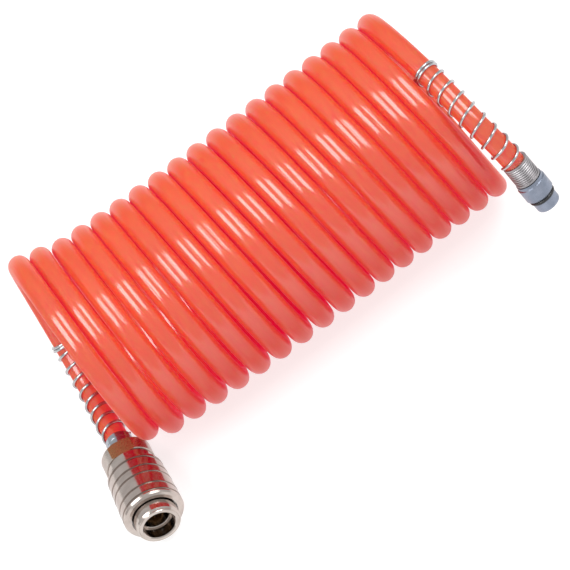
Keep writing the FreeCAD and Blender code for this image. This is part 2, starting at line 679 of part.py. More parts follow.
def coupler_poppet():
    """Valve: a head behind the seat and a slotted tube that the plug pushes back."""
    body = new_body("valve_poppet")
    head_front = SEAT_REAR + " - valve_seal_wire * 0.75"
    head_rear = head_front + " - valve_head_thickness"
    tube = "seat_diameter / 2 - running_gap"
    hollow = tube + " - valve_tube_wall"
    tube_end = head_front + " + valve_tube_length"
    revolve(body, "valve_turning", [
        (head_rear, "0"), (head_rear, VALVE_HEAD + " - 0.9"), (head_rear + " + 0.5", VALVE_HEAD),
        (head_front, VALVE_HEAD), (head_front, "seat_diameter / 2 - running_gap"),
        (tube_end + " - 0.4", tube), (tube_end, tube + " - 0.3"), (tube_end, hollow),
        (head_front + " + 0.3", hollow), (head_front + " + 0.3", "0")])
    sketch = body.newObject("Sketcher::SketchObject", "port_outline")
    sketch.AttachmentSupport = [(plane(body, "XY_Plane"), "")]
    sketch.MapMode = "FlatFace"
    place = evaluate(head_front) + 2.9
    sketch.addGeometry(Part.Circle(Vector(place, 0, 0), Vector(0, 0, 1), 1.1), False)
    sketch.addConstraint(Sketcher.Constraint("PointOnObject", 0, 3, -1))
    along = sketch.addConstraint(Sketcher.Constraint("DistanceX", -1, 1, 0, 3, place))
    sketch.setExpression(f"Constraints[{along}]", linked(head_front + " + 2.9"))
    sketch.addConstraint(Sketcher.Constraint("Radius", 0, 1.1))
    port = body.newObject("PartDesign::Pocket", "port")
    port.Profile = sketch
    port.Reversed = True
    port.setExpression("Length", linked("seat_diameter"))
    ports = body.newObject("PartDesign::PolarPattern", "ports")
    ports.Originals = [port]
    ports.Axis = (plane(body, "X_Axis"), [""])
    ports.Angle = 360
    ports.Occurrences = 4
    body.Tip = ports
    return body


def straight_spring(label, start, length, radius, wire, least_pitch):
    """A compression spring on the X axis of its fitting."""
    run = length - wire
    curls = max(1, int(run / least_pitch))

    def point(distance):
        turn = 2 * math.pi * curls * distance / run
        return Vector(start + wire / 2 + distance, radius * math.cos(turn), radius * math.sin(turn))

    def direction(distance):
        return (point(distance + 0.005) - point(distance - 0.005)).normalize()

    distances = [run * number / (4 * curls) for number in range(4 * curls + 1)]
    edges = biarcs_through(point, direction, distances)
    shape = tube_along(edges, point(0.0), direction(0.0), wire / 2)
    print(f"{label} least gap to itself {least_gap(edges, wire, 2 * math.pi * radius):.2f}")
    return wound(label, shape)


coupler_pieces = [coupler_ferrule(), wrench_adapter(), coupler_body(), release_sleeve(), sleeve_snap_ring(),
                  coupler_poppet()]
coupler_pieces.append(ring("spigot_seal", "spigot_diameter / 2 - 0.5", "0.96", SPIGOT_END + " - 1.5"))
coupler_pieces.append(ring("plug_seal", "groove_diameter / 2 - seal_wire / 2 - 0.03", "seal_wire",
                           NOSE + " - groove_set_back - groove_width / 2"))
coupler_pieces.append(ring("valve_seal", "seat_diameter / 2 + valve_seal_wire / 2 + 0.12",
                           "valve_seal_wire * 0.72", SEAT_REAR + " - valve_seal_wire * 0.375"))
for number in range(int(size("ball_count"))):
    ball = doc.addObject("Part::Sphere", f"locking_ball_{number + 1}")
    ball.Label = f"locking_ball_{number + 1}"
    ball.setExpression("Radius", linked("ball_diameter / 2"))
    turn = math.radians(360 * number / size("ball_count"))
    level = evaluate(BALL_LEVEL)
    ball.Placement = Placement(Vector(evaluate(BALL_PLACE), -level * math.sin(turn), level * math.cos(turn)),
                               Rotation())
    coupler_pieces.append(ball)
doc.recompute()

spring_room = evaluate(LAND_REAR + " - (" + FLANGE_FRONT + ")") - 0.1
coupler_pieces.append(straight_spring(
    "sleeve_spring", evaluate(FLANGE_FRONT) + 0.05, spring_room,
    (evaluate("neck_diameter / 2") + evaluate(SLEEVE_BORE)) / 2,
    size("sleeve_spring_wire"), size("sleeve_spring_pitch")))
valve_rear = evaluate(SEAT_REAR + " - valve_seal_wire * 0.75 - valve_head_thickness")
coupler_pieces.append(straight_spring(
    "valve_spring", evaluate(SPIGOT_END) + 0.05, valve_rear - evaluate(SPIGOT_END) - 0.1,
    evaluate("valve_spring_diameter / 2"), size("valve_spring_wire"), size("valve_spring_pitch")))

# The nipple, each piece turned about X with the stem's tip at the origin

HOSE_END = "nipple_stem_reach"
FERRULE_FRONT = "nipple_stem_reach + end_wall"
COLLAR_REAR = FERRULE_FRONT + " + swivel_gap"
RING_REAR = COLLAR_REAR + " + 0.5"
RING_FRONT = RING_REAR + " + swivel_ring_thickness"
STEM_FLANGE_REAR = RING_FRONT + " + running_gap"
STEM_FLANGE_FRONT = STEM_FLANGE_REAR + " + stem_flange_thickness"
ROOM_END = STEM_FLANGE_FRONT + " + running_gap"
SWIVEL_TUBE_END = STEM_FLANGE_FRONT + " + swivel_tube_length"
COLLAR_FRONT = COLLAR_REAR + " + collar_length"
STUB_REAR = COLLAR_FRONT + " + nose_ring_wire * 0.9"
STUB_FRONT = STUB_REAR + " + stub_length"
SWIVEL_SEAL_PLACE = STEM_FLANGE_FRONT + " + 1.5"


def nipple_ferrule():
    """Crimped shell with fine turned grooves and a front wall behind the stem's neck."""
    inner = "hose_diameter / 2 + ferrule_clearance"
    outer = "hose_diameter / 2 + nipple_ferrule_wall"
    rear = FERRULE_FRONT + " - nipple_ferrule_length"
    count = int(size("ferrule_grooves"))
    outline = [(rear, inner), (rear, outer), (rear + " + 0.6", outer)]
    pitch = "(nipple_ferrule_length - 1.2) / ferrule_grooves"
    for number in range(count):
        place = f"{rear} + 0.6 + {number} * {pitch}"
        outline += [(f"{place} + {pitch} * 0.2", outer), (f"{place} + {pitch} * 0.5",
                    outer + " - ferrule_groove_depth"), (f"{place} + {pitch} * 0.8", outer)]
    outline += [(FERRULE_FRONT, outer), (FERRULE_FRONT, "stem_neck_diameter / 2 + ferrule_clearance"),
                (HOSE_END, "stem_neck_diameter / 2 + ferrule_clearance"), (HOSE_END, inner)]
    return turned_body("nipple_ferrule", outline)


def nipple_stem():
    """Barbed stem whose flange turns inside the swivel collar."""
    floor = "swivel_tube_diameter / 2 - swivel_seal_wire * 0.85"
    before = SWIVEL_SEAL_PLACE + " - swivel_seal_wire * 0.55"
    behind = SWIVEL_SEAL_PLACE + " + swivel_seal_wire * 0.55"
    outline = [("0", "stem_bore / 2"), ("0", BARB_ROOT)] + barbs("0.5", 3, "2.9")
    outline += [(HOSE_END, BARB_ROOT), (HOSE_END, "stem_neck_diameter / 2"),
                (STEM_FLANGE_REAR, "stem_neck_diameter / 2"),
                (STEM_FLANGE_REAR, "stem_flange_diameter / 2"),
                (STEM_FLANGE_FRONT, "stem_flange_diameter / 2"),
                (STEM_FLANGE_FRONT, "swivel_tube_diameter / 2"), (before, "swivel_tube_diameter / 2"),
                (before, floor), (behind, floor), (behind, "swivel_tube_diameter / 2"),
                (SWIVEL_TUBE_END, "swivel_tube_diameter / 2"), (SWIVEL_TUBE_END, "stem_bore / 2")]
    return turned_body("nipple_stem", outline)


def nipple_body():
    """Swivel collar and plug stub in one piece, with the groove of the black ring between them."""
    body = new_body("nipple_body")
    room = "collar_room / 2"
    groove = "collar_room / 2 + 0.35"
    tube = "swivel_tube_diameter / 2 + running_gap"
    ring_floor = "stub_diameter / 2 - nose_ring_wire * 0.55"
    turned = revolve(body, "nipple_body_turning", [
        (COLLAR_REAR, room), (COLLAR_REAR, "collar_diameter / 2 - collar_step"),
        (COLLAR_REAR + " + 1.2", "collar_diameter / 2 - collar_step"),
        (COLLAR_REAR + " + 1.5", "collar_diameter / 2"),
        (COLLAR_FRONT + " - 0.9", "collar_diameter / 2"), (COLLAR_FRONT, "collar_diameter / 2 - 0.7"),
        (COLLAR_FRONT, ring_floor), (STUB_REAR, ring_floor), (STUB_REAR, "stub_diameter / 2"),
        (STUB_FRONT, "stub_diameter / 2"), (STUB_FRONT, "stub_bore / 2"),
        (SWIVEL_TUBE_END + " + 0.2", "stub_bore / 2"), (SWIVEL_TUBE_END + " + 0.2", tube),
        (ROOM_END, tube), (ROOM_END, room), (RING_FRONT + " + 0.02", room),
        (RING_FRONT + " + 0.02", groove), (RING_REAR + " - 0.02", groove), (RING_REAR + " - 0.02", room)])
    round_edge(body, "stub_rounding", turned, STUB_FRONT, "stub_diameter / 2", "stub_round")
    return body


def swivel_snap_ring():
    return turned_body("swivel_snap_ring", [
        (RING_REAR, "stem_neck_diameter / 2 + 0.3"), (RING_REAR, "collar_room / 2 + 0.33"),
        (RING_FRONT, "collar_room / 2 + 0.33"), (RING_FRONT, "stem_neck_diameter / 2 + 0.3")])


nipple_pieces = [nipple_ferrule(), nipple_stem(), nipple_body(), swivel_snap_ring()]
nipple_pieces.append(ring("swivel_seal", "swivel_tube_diameter / 2 - swivel_seal_wire * 0.46",
                          "swivel_seal_wire * 0.72", SWIVEL_SEAL_PLACE))
nipple_pieces.append(ring("nose_ring", "stub_diameter / 2 - nose_ring_wire * 0.55 + nose_ring_wire / 2 * 0.86",
                          "nose_ring_wire * 0.84", COLLAR_FRONT + " + nose_ring_wire * 0.45"))
doc.recompute()


def seat_fitting(pieces, tip, axis):
    """Turn every piece of a fitting so that its X axis points along the hose, with Z kept up."""
    across = Vector(0, 0, 1).cross(axis).normalize()
    upward = axis.cross(across)
    turn = Rotation(axis, across, upward, "XYZ")
    frame = Placement(tip, turn)
    for piece in pieces:
        piece.Placement = frame.multiply(piece.Placement)


seat_fitting(coupler_pieces, adapter_rear - coupler_axis * size("stem_length"), coupler_axis)
seat_fitting(nipple_pieces, hose_end - nipple_axis * size("nipple_stem_reach"), nipple_axis)
doc.recompute()

NODES = ["coil_tube", "coupler_tail_tube", "nipple_tail_tube", "coupler_guard_spring",
         "nipple_guard_spring", "coupler_ferrule", "wrench_adapter", "spigot_seal", "coupler_body",
         "plug_seal", "sleeve_snap_ring", "release_sleeve", "sleeve_spring", "valve_poppet",
         "valve_seal", "valve_spring", "nipple_ferrule", "nipple_stem", "swivel_seal",
         "nipple_body", "swivel_snap_ring", "nose_ring"]
NODES += [f"locking_ball_{number + 1}" for number in range(int(size("ball_count")))]

for thing in doc.Objects:
    if "Invalid" in thing.State or "Error" in thing.State:
        raise RuntimeError(f"{thing.Label} failed: {thing.State}")

os.makedirs("parts", exist_ok=True)
for label in NODES:
    piece = doc.getObjectsByLabel(label)[0]
    shape = piece.Shape
    if shape.isNull() or not shape.isValid():
        raise RuntimeError(f"{label} has no valid shape")
    shape.exportStep(f"parts/{label}.step")
    print(f"{label}: {len(shape.Solids)} solid, {len(shape.Faces)} faces, {shape.Volume:.1f} mm3, "
          f"z from {shape.BoundBox.ZMin:.2f} to {shape.BoundBox.ZMax:.2f}")


def spoken(vector, digits):
    return ", ".join(f"{part:.{digits}f}" for part in vector)


print("coupler axis", spoken(coupler_axis, 9), "nose", spoken(
    adapter_rear + coupler_axis * evaluate("adapter_length + body_length"), 4))
print("nipple axis", spoken(nipple_axis, 9), "tip", spoken(
    hose_end + nipple_axis * evaluate(STUB_FRONT + " - nipple_stem_reach"), 4))
print(f"hose {hose_line.length / 1000:.3f} m from end to end")
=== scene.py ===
import math

import bpy
from mathutils import Matrix, Vector


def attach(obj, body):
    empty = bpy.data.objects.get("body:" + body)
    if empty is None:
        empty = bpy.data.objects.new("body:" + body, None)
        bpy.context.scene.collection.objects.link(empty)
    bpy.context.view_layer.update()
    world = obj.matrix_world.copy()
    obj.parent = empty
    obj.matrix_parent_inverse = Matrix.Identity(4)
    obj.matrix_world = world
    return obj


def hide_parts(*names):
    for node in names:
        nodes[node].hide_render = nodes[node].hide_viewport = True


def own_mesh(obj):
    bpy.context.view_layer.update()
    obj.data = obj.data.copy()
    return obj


# Looks of the coiled air hose, in metres, in the frame of the CAD model
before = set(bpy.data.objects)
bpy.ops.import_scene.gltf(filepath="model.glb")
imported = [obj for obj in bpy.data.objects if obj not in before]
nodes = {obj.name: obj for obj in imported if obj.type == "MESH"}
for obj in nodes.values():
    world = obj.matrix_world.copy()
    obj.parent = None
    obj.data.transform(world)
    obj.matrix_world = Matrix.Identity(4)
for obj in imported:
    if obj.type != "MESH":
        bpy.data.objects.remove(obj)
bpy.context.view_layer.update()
bpy.ops.object.select_all(action="DESELECT")
print("frame loaded,", len(nodes), "nodes")

camera = {
    "azimuth": -9.618, "elevation": 50.489, "roll": -5.158, "pictureTilt": 34.85,
    "distance": 3.1872, "lens": 562.1, "sensorWidth": 36, "clipEnd": 20,
    "lookX": -0.01377, "lookZ": 0.0402, "drop": 0.01949,
}


def turnTo(first, second, third):
    return Matrix((first, second, third)).transposed()


def makeCamera():
    az, el = math.radians(camera["azimuth"]), math.radians(camera["elevation"])
    toCamera = Vector((math.sin(az) * math.cos(el), -math.cos(az) * math.cos(el), math.sin(el)))
    right = Vector((math.cos(az), math.sin(az), 0))
    up = toCamera.cross(right)
    tilt = math.radians(camera["roll"] + camera["pictureTilt"])
    place = Vector((camera["lookX"], 0, camera["lookZ"])) - up * camera["drop"] + toCamera * camera["distance"]
    pictureRight = right * math.cos(tilt) - up * math.sin(tilt)
    pictureUp = right * math.sin(tilt) + up * math.cos(tilt)
    data = bpy.data.cameras.new("camera")
    data.lens = camera["lens"]
    data.sensor_width = camera["sensorWidth"]
    data.clip_end = camera["clipEnd"]
    cameraObject = bpy.data.objects.new("camera", data)
    bpy.context.collection.objects.link(cameraObject)
    turn = turnTo(pictureRight, pictureUp, toCamera)
    cameraObject.matrix_world = Matrix.Translation(place) @ turn.to_4x4()
    bpy.context.scene.camera = cameraObject


makeCamera()
print("camera placed")

# Angles along the hose are in degrees, 0 at the first crest and 360 more for each turn.
# A fade is given by where it starts and how far it runs.
hose = {
    "diameter": 0.008, "drawnDiameter": 0.00824, "length": 4.377, "sides": 24, "cuts": 4, "lineCuts": 8,
    "coilRadius": 0.0367, "flattened": 0.993, "axisHeight": 0.04045, "pitch": 0.0088, "pitchGrowth": 0.000037,
    "firstAngle": -183.8, "middleAngle": 3420, "lastAngle": 6496.5, "pointsPerTurn": 24, "lean": 7.1,
    "endTurns": 9, "endPower": 1.2, "endUpright": 3.0, "endYaw": 6.3, "bow": 0.0037,
    "endLift": 0.00485, "endLiftFade": (90, 450),
    "firstTurnShift": 0.00095, "firstTurnRise": (-100, 110), "firstTurnFall": (30, 230),
    "couplerSpread": 0.00026, "couplerSpreadUntil": -60, "nippleSpread": 0.00048, "nippleSpreadFrom": 6420,
    "drift": 0.0004, "driftTurns": 12, "driftRise": (-184, 94),
    "couplerTail": 0.02075, "couplerTailShares": (1, 0.8, 0.6, 0.4, 0.2),
    "tailBulge": 0.0007, "tailBulgeShare": 0.58, "tailBulgeRun": 0.5, "tailBulgeFade": (-130, 80),
    # millimetres along the last direction, down from it and aside
    "nippleTail": [(8, 0, -0.1), (20.1, 0, -0.7), (31.8, 3.4, -0.7), (42.1, 9.9, 0.5), (51.4, 20.4, 1.6)],
    "nippleTailDrift": 42,
}


def smoothStep(share):
    held = min(1, max(0, share))
    return held * held * (3 - 2 * held)


def faded(angle, fade):
    return smoothStep((angle - fade[0]) / fade[1])


def coilPoint(angle):
    swell = 1 / math.cos(math.pi / hose["pointsPerTurn"])  # a spline of order 3 runs inside its points
    radius = hose["coilRadius"]
    height = radius * math.cos(math.radians(angle)) * swell
    depth = -radius * math.sin(math.radians(angle)) * swell
    turns = (angle - hose["middleAngle"]) / 360
    towardsCoupler = max(0, -turns / hose["endTurns"])
    tilted = towardsCoupler ** hose["endPower"]
    x = hose["pitch"] * turns - hose["pitchGrowth"] * turns ** 2 / 2
    x -= math.tan(math.radians(hose["lean"])) * (height + radius)
    x += tilted * math.tan(math.radians(hose["endUpright"])) * height
    x += tilted * math.tan(math.radians(hose["endYaw"])) * depth
    x -= hose["couplerSpread"] * max(0, math.radians(hose["couplerSpreadUntil"] - angle)) ** 2
    x += hose["nippleSpread"] * max(0, math.radians(angle - hose["nippleSpreadFrom"])) ** 2
    x += hose["firstTurnShift"] * (faded(angle, hose["firstTurnRise"]) - faded(angle, hose["firstTurnFall"]))
    y = depth + hose["bow"] * towardsCoupler ** 2
    z = hose["axisHeight"] + height * hose["flattened"] + hose["endLift"] * (1 - faded(angle, hose["endLiftFade"]))
    return Vector((x, y, z))


def coilDirection(angle):
    return (coilPoint(angle + 0.01) - coilPoint(angle - 0.01)).normalized()


def driftAt(angle):  # the turns don't lie quite evenly along the coil
    wave = hose["drift"] * math.cos(math.radians(angle) / hose["driftTurns"])
    return Vector((wave * faded(angle, hose["driftRise"]), 0, 0))


def hoseRoute():
    start, end = coilPoint(hose["firstAngle"]), coilPoint(hose["lastAngle"])
    couplerAxis = -coilDirection(hose["firstAngle"])
    outwards = Vector((-hose["tailBulge"], 0, 0))
    points = []
    for share in hose["couplerTailShares"]:  # from the coupler on, straight as far as the crimped ring
        bulge = outwards * smoothStep((hose["tailBulgeShare"] - share) / hose["tailBulgeRun"])
        points.append(start + couplerAxis * hose["couplerTail"] * share + bulge)
    turned = hose["lastAngle"] - hose["firstAngle"]
    steps = math.ceil(turned * hose["pointsPerTurn"] / 360)
    for number in range(steps + 1):
        angle = hose["firstAngle"] + turned * number / steps
        points.append(coilPoint(angle) + outwards * (1 - faded(angle, hose["tailBulgeFade"])) + driftAt(angle))
    lead = coilDirection(hose["lastAngle"])
    down = (Vector((0, 0, -1)) + lead * lead.z).normalized()
    aside = lead.cross(down)
    for along, drop, shift in hose["nippleTail"]:
        drifted = driftAt(hose["lastAngle"]) * (1 - smoothStep(along / hose["nippleTailDrift"]))
        points.append(end + (lead * along + down * drop + aside * shift) / 1000 + drifted)
    return points


def splineCurve(name, points, radius, sides, cuts):
    data = bpy.data.curves.new(name, "CURVE")
    data.dimensions = "3D"
    spline = data.splines.new("NURBS")
    spline.points.add(len(points) - 1)
    for point, place in zip(spline.points, points):
        point.co = (*place, 1)
    spline.order_u = 3
    spline.use_endpoint_u = True
    spline.resolution_u = cuts
    spline.use_smooth = True
    data.bevel_depth = radius
    data.bevel_resolution = (sides - 4) // 2
    data.use_fill_caps = True
    piece = bpy.data.objects.new(name, data)
    bpy.context.collection.objects.link(piece)
    return piece


def linePoints(points, cuts):
    bare = splineCurve("route", points, 0, 4, cuts)
    mesh = bpy.data.meshes.new_from_object(bare)
    found = [vertex.co.copy() for vertex in mesh.vertices]
    bpy.data.objects.remove(bare)
    bpy.data.meshes.remove(mesh)
    return found


routePoints = hoseRoute()
hosePiece = splineCurve("hose_tube", routePoints, hose["drawnDiameter"] / 2, hose["sides"], hose["cuts"])
hoseLine = linePoints(routePoints, hose["lineCuts"])
lineLengths = [0]
for first, last in zip(hoseLine, hoseLine[1:]):
    lineLengths.append(lineLengths[-1] + (last - first).length)
print(f"hose laid, {lineLengths[-1]:.3f} m")

guard = {
    "wire": 0.0011, "clearance": 0.0001, "length": 0.0475, "pitch": 0.0055,
    "closedPitch": 0.00118, "closedCurls": 1.9, "fromCoupler": 0.0081, "fromNipple": 0.0082,
    "nippleTurned": 0.55,  # of a curl
}
curl = {"points": 16, "sides": 12, "cuts": 3}  # what every wire spring is drawn with
curlLift = 1 / math.cos(math.pi / curl["points"])  # here too the spline runs inside its points


def alongHose(distance):
    low, high = 0, len(lineLengths) - 1
    while high - low > 1:
        middle = (low + high) // 2
        if lineLengths[middle] <= distance:
            low = middle
        else:
            high = middle
    share = (distance - lineLengths[low]) / (lineLengths[high] - lineLengths[low])
    before, after = max(0, low - 1), min(len(hoseLine) - 1, high + 1)
    return hoseLine[low].lerp(hoseLine[high], share), (hoseLine[after] - hoseLine[before]).normalized()


def guardSpring(name, start, closedFirst, firstTurned):
    closed = guard["closedCurls"] * guard["closedPitch"]
    run = guard["length"] - guard["wire"]
    curls = guard["closedCurls"] + (run - closed) / guard["pitch"]
    radius = hose["diameter"] / 2 + guard["clearance"] + guard["wire"] / 2
    count = round(curls * curl["points"])
    points = []
    for number in range(count + 1):
        turned = curls * number / count
        fromClosed = turned if closedFirst else curls - turned
        distance = min(fromClosed, guard["closedCurls"]) * guard["closedPitch"]
        distance += max(0, fromClosed - guard["closedCurls"]) * guard["pitch"]
        if not closedFirst:
            distance = run - distance
        place, forward = alongHose(start + distance)
        side = (Vector((1, 0, 0)) - forward * forward.x).normalized()
        up = forward.cross(side)
        angle = 2 * math.pi * (turned + firstTurned)
        points.append(place + (side * math.cos(angle) + up * math.sin(angle)) * radius * curlLift)
    return splineCurve(name, points, guard["wire"] / 2, curl["sides"], curl["cuts"])


nippleStart = lineLengths[-1] - guard["fromNipple"] - guard["length"]
couplerSpring = guardSpring("coupler_guard_wire", guard["fromCoupler"], False, 0)
nippleSpring = guardSpring("nipple_guard_wire", nippleStart, True, guard["nippleTurned"])
print("guard springs wound")

coupler = {"axis": Vector((-0.197950538, -0.978039806, 0.065220571)),
           "nose": Vector((-0.1053255, -0.0555101, 0.0122754))}
nipple = {"axis": Vector((0.103650951, -0.415015969, -0.903890605)),
          "nose": Vector((0.0736225, -0.0593088, 0.0287034))}

pressedSprings = {  # rear and front from the coupler's nose, radius at the wire's centre, travel of the joint
    "sleeve_spring": {"joint": "sleeve_slide", "rear": -0.02615, "front": -0.017252, "radius": 0.007975,
                      "wire": 0.0009, "curls": 4, "travel": 0.003},
    "valve_spring": {"joint": "valve_slide", "rear": -0.02655, "front": -0.02245, "radius": 0.0034,
                     "wire": 0.0005, "curls": 3, "travel": 0.0024},
}


def pressedSpring(name, spring):
    side = Vector((0, 0, 1)).cross(coupler["axis"]).normalized()
    up = coupler["axis"].cross(side)
    run = spring["front"] - spring["rear"] - spring["wire"]
    count = spring["curls"] * curl["points"]
    points = []
    for number in range(count + 1):
        angle = 2 * math.pi * spring["curls"] * number / count
        along = spring["rear"] + spring["wire"] / 2 + run * number / count
        around = (side * math.cos(angle) + up * math.sin(angle)) * spring["radius"] * curlLift
        points.append(coupler["nose"] + coupler["axis"] * along + around)
    piece = splineCurve(name + "_wire", points, spring["wire"] / 2, curl["sides"], curl["cuts"])
    piece.select_set(True)
    bpy.context.view_layer.objects.active = piece
    bpy.ops.object.convert(target="MESH")
    bpy.ops.object.select_all(action="DESELECT")
    return piece


pressed = {name: pressedSpring(name, spring) for name, spring in pressedSprings.items()}
print("coupler springs wound")

wearLook = {  # scales of the patches and the specks, and the span of the noise that is used
    "hose": (25, 900), "metal": (220, 2500), "rubber": (300, 3000), "low": 0.3, "high": 0.7, "detail": 4,
}


def newMaterial(name):
    material = bpy.data.materials.new(name)
    material.use_nodes = True
    return material, material.node_tree, material.node_tree.nodes["Principled BSDF"]


def setInputs(node, values):
    for name, value in values.items():
        node.inputs[name].default_value = value


def wearGroup():
    group = bpy.data.node_groups.new("handlingWear", "ShaderNodeTree")
    for name in ("Vector", "Patches", "Specks"):
        socket = "NodeSocketVector" if name == "Vector" else "NodeSocketFloat"
        group.interface.new_socket(name=name, in_out="INPUT", socket_type=socket)
    group.interface.new_socket(name="Patch", in_out="OUTPUT", socket_type="NodeSocketFloat")
    group.interface.new_socket(name="Speck", in_out="OUTPUT", socket_type="NodeSocketFloat")
    source, sink = group.nodes.new("NodeGroupInput"), group.nodes.new("NodeGroupOutput")
    for name, scale, output in (("patch", "Patches", "Patch"), ("speck", "Specks", "Speck")):
        noise = group.nodes.new("ShaderNodeTexNoise")
        noise.name = name
        noise.inputs["Detail"].default_value = wearLook["detail"]
        group.links.new(source.outputs["Vector"], noise.inputs["Vector"])
        group.links.new(source.outputs[scale], noise.inputs["Scale"])
        group.links.new(noise.outputs["Fac"], sink.inputs[output])
    return group


wear = wearGroup()


def addWear(tree, kind):
    node = tree.nodes.new("ShaderNodeGroup")
    node.node_tree = wear
    patches, specks = wearLook[kind]
    setInputs(node, {"Patches": patches, "Specks": specks})
    coordinates = tree.nodes.new("ShaderNodeTexCoord")
    tree.links.new(coordinates.outputs["Object"], node.inputs["Vector"])
    return node.outputs["Patch"], node.outputs["Speck"]


def addRamp(tree, factor, stops):
    ramp = tree.nodes.new("ShaderNodeValToRGB")
    for element, (position, color) in zip(ramp.color_ramp.elements, (stops[0], stops[-1])):
        element.position, element.color = position, (*color, 1)
    for position, color in stops[1:-1]:
        ramp.color_ramp.elements.new(position).color = (*color, 1)
    tree.links.new(factor, ramp.inputs["Fac"])
    return ramp.outputs["Color"]


def addRange(tree, factor, fromSpan, toSpan):
    node = tree.nodes.new("ShaderNodeMapRange")
    setInputs(node, {"From Min": fromSpan[0], "From Max": fromSpan[1], "To Min": toSpan[0], "To Max": toSpan[1]})
    tree.links.new(factor, node.inputs["Value"])
    return node.outputs["Result"]


def wornColor(tree, patch, dark, light):
    return addRamp(tree, patch, [(wearLook["low"], dark), (wearLook["high"], light)])


def wornGloss(tree, noise, rough, shader):
    worn = addRange(tree, noise, (wearLook["low"], wearLook["high"]), rough)
    tree.links.new(worn, shader.inputs["Roughness"])


def addBump(tree, height, strength, distance, shader):
    bump = tree.nodes.new("ShaderNodeBump")
    setInputs(bump, {"Strength": strength, "Distance": distance})
    tree.links.new(height, bump.inputs["Height"])
    tree.links.new(bump.outputs["Normal"], shader.inputs["Normal"])
    return bump.outputs["Normal"]


def addNoise(tree, vector, scale):
    noise = tree.nodes.new("ShaderNodeTexNoise")
    setInputs(noise, {"Scale": scale, "Detail": 2})
    tree.links.new(vector, noise.inputs["Vector"])
    return noise.outputs["Fac"]


# Clear-tinted plastic: red light spreads far inside it, and a painted red glow keeps the grooves between the turns
# and the shaded lower sides crimson
hoseLook = {
    "paler": (0.455, 0.118, 0.007), "deeper": (0.415, 0.096, 0.004), "rough": (0.3, 0.4), "specular": 0.1,
    "depth": 0.02, "spread": (1.0, 0.04, 0.03), "inner": (1, 0, 0.075), "innerLight": 0.35,
    "coatGloss": 0.13, "coatIndex": 1.75, "coatFacing": (0.15, 0.5), "coatWeight": (1, 0.1),
    "sheen": 0.25, "sheenTint": (1, 0.9, 0.86), "sheenGloss": 0.3,
    "striationsAlong": 100, "striationsAround": 24, "striation": 0.8, "striationDepth": 0.0002,
}


def hoseMaterial():
    material, tree, shader = newMaterial("orange_red_polyurethane")
    setInputs(shader, {
        "Subsurface Weight": 1, "Subsurface Radius": hoseLook["spread"], "Subsurface Scale": hoseLook["depth"],
        # Painted light: the hose glows red by itself, so its grooves and shaded sides stay bright crimson
        "Emission Color": (*hoseLook["inner"], 1), "Emission Strength": hoseLook["innerLight"],
        "Specular IOR Level": hoseLook["specular"],
        "Coat Roughness": hoseLook["coatGloss"], "Coat IOR": hoseLook["coatIndex"],
        "Sheen Weight": hoseLook["sheen"], "Sheen Tint": (*hoseLook["sheenTint"], 1),
        "Sheen Roughness": hoseLook["sheenGloss"],
    })
    patch, _ = addWear(tree, "hose")
    tree.links.new(wornColor(tree, patch, hoseLook["deeper"], hoseLook["paler"]), shader.inputs["Base Color"])
    wornGloss(tree, patch, hoseLook["rough"], shader)
    facing = tree.nodes.new("ShaderNodeLayerWeight")  # no white edge on the sides that turn away
    facing.inputs["Blend"].default_value = 0.5
    coat = addRange(tree, facing.outputs["Facing"], hoseLook["coatFacing"], hoseLook["coatWeight"])
    tree.links.new(coat, shader.inputs["Coat Weight"])
    coordinates = tree.nodes.new("ShaderNodeTexCoord")  # U runs along the hose and V round it
    mapping = tree.nodes.new("ShaderNodeMapping")
    mapping.inputs["Scale"].default_value = (hoseLook["striationsAlong"], hoseLook["striationsAround"], 1)
    tree.links.new(coordinates.outputs["UV"], mapping.inputs["Vector"])
    lines = addNoise(tree, mapping.outputs["Vector"], 1)
    striated = addBump(tree, lines, hoseLook["striation"], hoseLook["striationDepth"], shader)
    tree.links.new(striated, shader.inputs["Coat Normal"])
    return material


def fittingVector(tree, fitting, stretch=(1, 1, 1)):  # X runs along the fitting's axis, 0 at its nose
    axis = fitting["axis"]
    across = Vector((0, 0, 1)).cross(axis).normalized()
    coordinates = tree.nodes.new("ShaderNodeTexCoord")
    mapping = tree.nodes.new("ShaderNodeMapping")
    mapping.vector_type = "TEXTURE"
    turn = turnTo(axis, across, axis.cross(across)).to_euler()
    setInputs(mapping, {"Location": fitting["nose"], "Rotation": turn, "Scale": stretch})
    tree.links.new(coordinates.outputs["Object"], mapping.inputs["Vector"])
    return mapping.outputs["Vector"]


def fittingAxes(tree, fitting):
    apart = tree.nodes.new("ShaderNodeSeparateXYZ")
    tree.links.new(fittingVector(tree, fitting), apart.inputs["Vector"])
    return apart.outputs


def mixColors(tree, blend, factor, first, second):
    node = tree.nodes.new("ShaderNodeMix")
    node.data_type = "RGBA"
    node.blend_type = blend
    if factor is None:
        node.inputs["Factor"].default_value = 1
    else:
        tree.links.new(factor, node.inputs["Factor"])
    tree.links.new(first, node.inputs["A"])
    tree.links.new(second, node.inputs["B"])
    return node.outputs["Result"]


# Darkens a thin ring at each groove: grime together with painted shade in the recess
def shadeAndGrimeInGrooves(tree, color, fitting, grooves):
    along = addRange(tree, fittingAxes(tree, fitting)["X"], (grooves["rear"], grooves["front"]), (0, 1))
    unmarked, width = (1, 1, 1), grooves["width"]
    stops = []
    for place in grooves["places"]:
        stops += [(place - width, unmarked), (place, grooves["shadeAndGrime"]), (place + width, unmarked)]
    return mixColors(tree, "MULTIPLY", None, color, addRamp(tree, along, stops))
